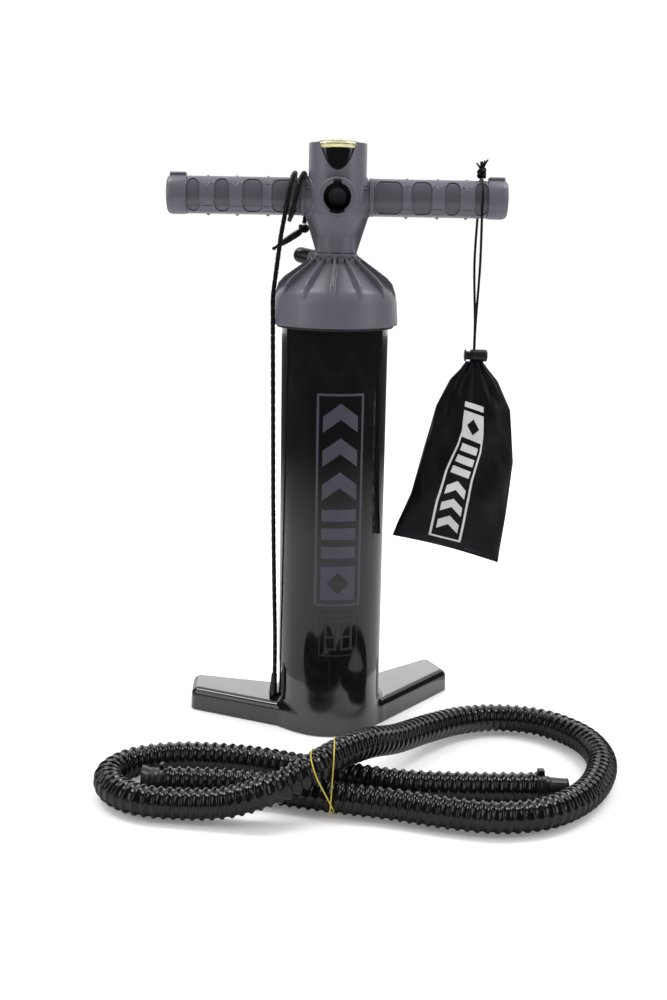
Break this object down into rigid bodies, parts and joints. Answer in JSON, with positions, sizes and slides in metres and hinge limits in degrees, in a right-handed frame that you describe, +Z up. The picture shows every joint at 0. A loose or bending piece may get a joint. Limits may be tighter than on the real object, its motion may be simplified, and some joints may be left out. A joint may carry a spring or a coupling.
{
  "type": "double action hand pump",
  "caption": "Tall hand pump with a ribbed screw cap, T-handle with windowed grips and a gauge on top, swept foot wings, corrugated hose, leash and drawstring bag.",
  "frame": {"origin": "on the barrel's axis at the floor, in the middle of the base cover's underside", "axes": "+Z up along the barrel, +X along the handle to the right, -Y out of the hose port"},
  "size_m": [0.4934, 0.3934, 0.5964],
  "materials": {
    "housing_black": "gloss",
    "cover_black": "matte",
    "head_grey": "satin",
    "tube_grey": "gloss",
    "fitting_grey": "satin",
    "fitting_black": "satin",
    "natural_nylon": "satin",
    "seal_rubber": "matte",
    "rod_alloy": "satin",
    "screw_steel": "satin",
    "gauge_brass": "satin",
    "dial_white": "satin",
    "needle_red": "satin",
    "lens_clear": "gloss",
    "hose_black": "gloss",
    "leash_braid": "matte",
    "bag_fabric": "satin",
    "cord_black": "matte",
    "band_yellow": "satin"
  },
  "bodies": {
    "barrel": {"barrel_housing": "housing_black", "base_cover": "cover_black", "cover_screws": "screw_steel", "inlet_cage": "fitting_grey", "barrel_gasket": "seal_rubber", "cap": "head_grey", "rod_bushing": "natural_nylon", "wiper_retainer": "fitting_grey", "cap_valve": "seal_rubber", "hose_tube": "hose_black", "hose_plug": "fitting_grey", "hose_plug_seal": "seal_rubber", "hose_collar": "fitting_black", "hose_nozzle": "fitting_grey", "hose_band": "band_yellow", "leash_anchor": "fitting_black", "leash_lower": "leash_braid"},
    "inlet_valve": {"inlet_valve_disc": "seal_rubber"},
    "plug": {"action_plug": "fitting_black", "plug_seal": "seal_rubber"},
    "turning_ring": {"rod_wiper": "seal_rubber"},
    "handle": {"rod": "rod_alloy", "piston_body": "natural_nylon", "piston_seal": "seal_rubber", "piston_wear_ring": "natural_nylon", "piston_pin": "screw_steel", "outlet_cage": "fitting_grey", "rod_valve_sleeve": "seal_rubber", "t_head": "head_grey", "neck_screw": "screw_steel", "port_gasket": "seal_rubber", "arm_tube_left": "tube_grey", "arm_tube_right": "tube_grey", "arm_screws": "screw_steel", "grip_left": "head_grey", "grip_right": "head_grey", "end_cap_left": "head_grey", "end_cap_right": "head_grey", "gauge_body": "fitting_black", "gauge_seal": "seal_rubber", "gauge_movement": "gauge_brass", "gauge_dial": "dial_white", "gauge_lens": "lens_clear", "leash_upper": "leash_braid", "leash_knot": "leash_braid", "leash_hook": "fitting_black"},
    "outlet_valve": {"outlet_valve_disc": "seal_rubber"},
    "needle": {"gauge_needle": "needle_red"},
    "bag": {"bag": "bag_fabric", "bag_cord": "cord_black", "bag_cord_knot": "cord_black", "cord_lock": "fitting_grey", "lock_spring": "screw_steel"},
    "lock_plunger": {"lock_plunger": "fitting_black"}
  },
  "joints": [
    {"name": "handle_turn", "type": "hinge", "parent": "barrel", "child": "turning_ring", "pos_m": [0, 0, 0.4819], "axis": [0, 0, 1], "range_deg": [-15, 60]},
    {"name": "handle_slide", "type": "slide", "parent": "turning_ring", "child": "handle", "axis": [0, 0, 1], "range_m": [0, 0.37]},
    {"name": "inlet_valve_lift", "type": "slide", "parent": "barrel", "child": "inlet_valve", "axis": [0, 0, 1], "range_m": [0, 0.002]},
    {"name": "outlet_valve_lift", "type": "slide", "parent": "handle", "child": "outlet_valve", "axis": [0, 0, 1], "range_m": [0, 0.002]},
    {"name": "plug_pull", "type": "slide", "parent": "barrel", "child": "plug", "axis": [-0.7826, 0.6025, 0.1564], "range_m": [0, 0.02]},
    {"name": "needle_turn", "type": "hinge", "parent": "handle", "child": "needle", "pos_m": [0, 0, 0.587], "axis": [0, 0, -1], "range_deg": [0, 270], "stiffness_Nm_per_rad": 0.001},
    {"name": "bag_swing", "type": "hinge", "parent": "handle", "child": "bag", "pos_m": [0.14, 0, 0.5415], "axis": [1, 0, 0], "range_deg": [-60, 60]},
    {"name": "lock_press", "type": "slide", "parent": "bag", "child": "lock_plunger", "axis": [1, 0, 0], "range_m": [0, 0.0035], "stiffness_N_per_m": 300, "springref_m": -0.002, "deforming": ["lock_spring"]}
  ]
}
